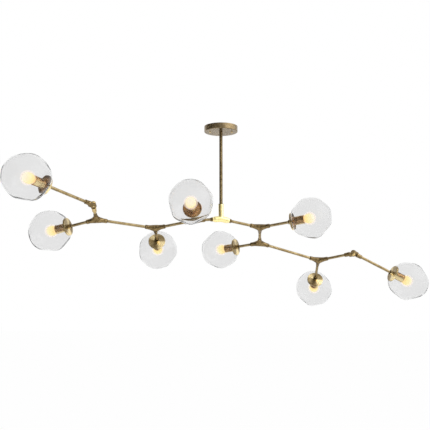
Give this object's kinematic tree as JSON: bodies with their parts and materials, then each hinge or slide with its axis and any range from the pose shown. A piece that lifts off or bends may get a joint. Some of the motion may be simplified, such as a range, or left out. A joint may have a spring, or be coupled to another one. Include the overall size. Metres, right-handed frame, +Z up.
{
  "type": "branch chandelier",
  "caption": "Branching ceiling light: blown glass bubbles on swivelling brass arms below a round canopy and stem.",
  "frame": {"origin": "centre of the ceiling bracket's top face, where it meets the ceiling", "axes": "+Z up out of the ceiling, +X to the right seen from the front, +Y to the back; the light hangs below the origin"},
  "size_m": [1.4572, 0.8183, 0.6678],
  "materials": {
    "tube_brass": "antique brushed along the tube",
    "cast_brass": "hand polished casting",
    "turned_brass": "antique, turned on a lathe",
    "holder_brass": "antique satin",
    "canopy_brass": "antique satin, spun",
    "screw_brass": "polished",
    "plated_steel": "zinc plated",
    "blown_glass": "clear, hand blown",
    "lit_bulb": "opal, lit"
  },
  "bodies": {
    "frame": {"canopy": "canopy_brass", "ceiling_bracket": "plated_steel", "canopy_screws": "screw_brass", "locknut": "plated_steel", "stem_upper": "tube_brass", "stem_lower": "tube_brass", "hub": "cast_brass", "arms_hub": "tube_brass"},
    "left_1": {"casting_left_1": "cast_brass", "arms_left_1": "tube_brass", "cup_left_1": "turned_brass", "holder_left_1": "holder_brass", "bulb_left_1": "lit_bulb", "shade_left_1": "blown_glass"},
    "left_2": {"casting_left_2": "cast_brass", "arms_left_2": "tube_brass", "cup_left_2": "turned_brass", "holder_left_2": "holder_brass", "bulb_left_2": "lit_bulb", "shade_left_2": "blown_glass"},
    "left_3": {"casting_left_3": "cast_brass", "arms_left_3": "tube_brass", "knuckle_fixed_left": "cast_brass", "cup_left_3": "turned_brass", "holder_left_3": "holder_brass", "bulb_left_3": "lit_bulb", "shade_left_3": "blown_glass"},
    "left_end": {"knuckle_moving_left": "cast_brass", "knuckle_screw_left": "screw_brass", "arm_left_end": "tube_brass", "cup_left_end": "turned_brass", "holder_left_end": "holder_brass", "bulb_left_end": "lit_bulb", "shade_left_end": "blown_glass"},
    "right_1": {"casting_right_1": "cast_brass", "arms_right_1": "tube_brass", "cup_right_1": "turned_brass", "holder_right_1": "holder_brass", "bulb_right_1": "lit_bulb", "shade_right_1": "blown_glass"},
    "right_2": {"casting_right_2": "cast_brass", "arms_right_2": "tube_brass", "cup_right_2": "turned_brass", "holder_right_2": "holder_brass", "bulb_right_2": "lit_bulb", "shade_right_2": "blown_glass"},
    "right_3": {"casting_right_3": "cast_brass", "arms_right_3": "tube_brass", "knuckle_fixed_right": "cast_brass", "cup_right_3": "turned_brass", "holder_right_3": "holder_brass", "bulb_right_3": "lit_bulb", "shade_right_3": "blown_glass"},
    "right_end": {"knuckle_moving_right": "cast_brass", "knuckle_screw_right": "screw_brass", "arm_right_end": "tube_brass", "cup_right_end": "turned_brass", "holder_right_end": "holder_brass", "bulb_right_end": "lit_bulb", "shade_right_end": "blown_glass"}
  },
  "joints": [
    {"name": "left_1_swivel", "type": "hinge", "parent": "frame", "child": "left_1", "pos_m": [-0.09234, -0.02132, -0.34063], "axis": [-0.972, -0.2244, -0.0698], "range_deg": [-60, 60]},
    {"name": "left_2_swivel", "type": "hinge", "parent": "left_1", "child": "left_2", "pos_m": [-0.23408, 0.01287, -0.36604], "axis": [-0.9577, 0.231, -0.1717], "range_deg": [-60, 20]},
    {"name": "left_3_swivel", "type": "hinge", "parent": "left_2", "child": "left_3", "pos_m": [-0.42961, -0.05653, -0.34092], "axis": [-0.9356, -0.332, 0.1202], "range_deg": [-90, 90]},
    {"name": "left_end_fold", "type": "hinge", "parent": "left_3", "child": "left_end", "pos_m": [-0.42666, -0.12348, -0.29722], "axis": [0.3233, -0.5071, -0.7989], "range_deg": [-130, 45]},
    {"name": "right_1_swivel", "type": "hinge", "parent": "frame", "child": "right_1", "pos_m": [0.1406, 0.03246, -0.36205], "axis": [0.9565, 0.2208, -0.1908], "range_deg": [-60, 60]},
    {"name": "right_2_swivel", "type": "hinge", "parent": "right_1", "child": "right_2", "pos_m": [0.14674, 0.12329, -0.41437], "axis": [0.0585, 0.865, -0.4983], "range_deg": [-55, 60]},
    {"name": "right_3_swivel", "type": "hinge", "parent": "right_2", "child": "right_3", "pos_m": [0.37817, 0.1848, -0.47889], "axis": [0.9332, 0.248, -0.2602], "range_deg": [-90, 90]},
    {"name": "right_end_fold", "type": "hinge", "parent": "right_3", "child": "right_end", "pos_m": [0.50046, 0.12887, -0.4527], "axis": [0.2066, 0.7473, 0.6315], "range_deg": [-120, 45]}
  ]
}
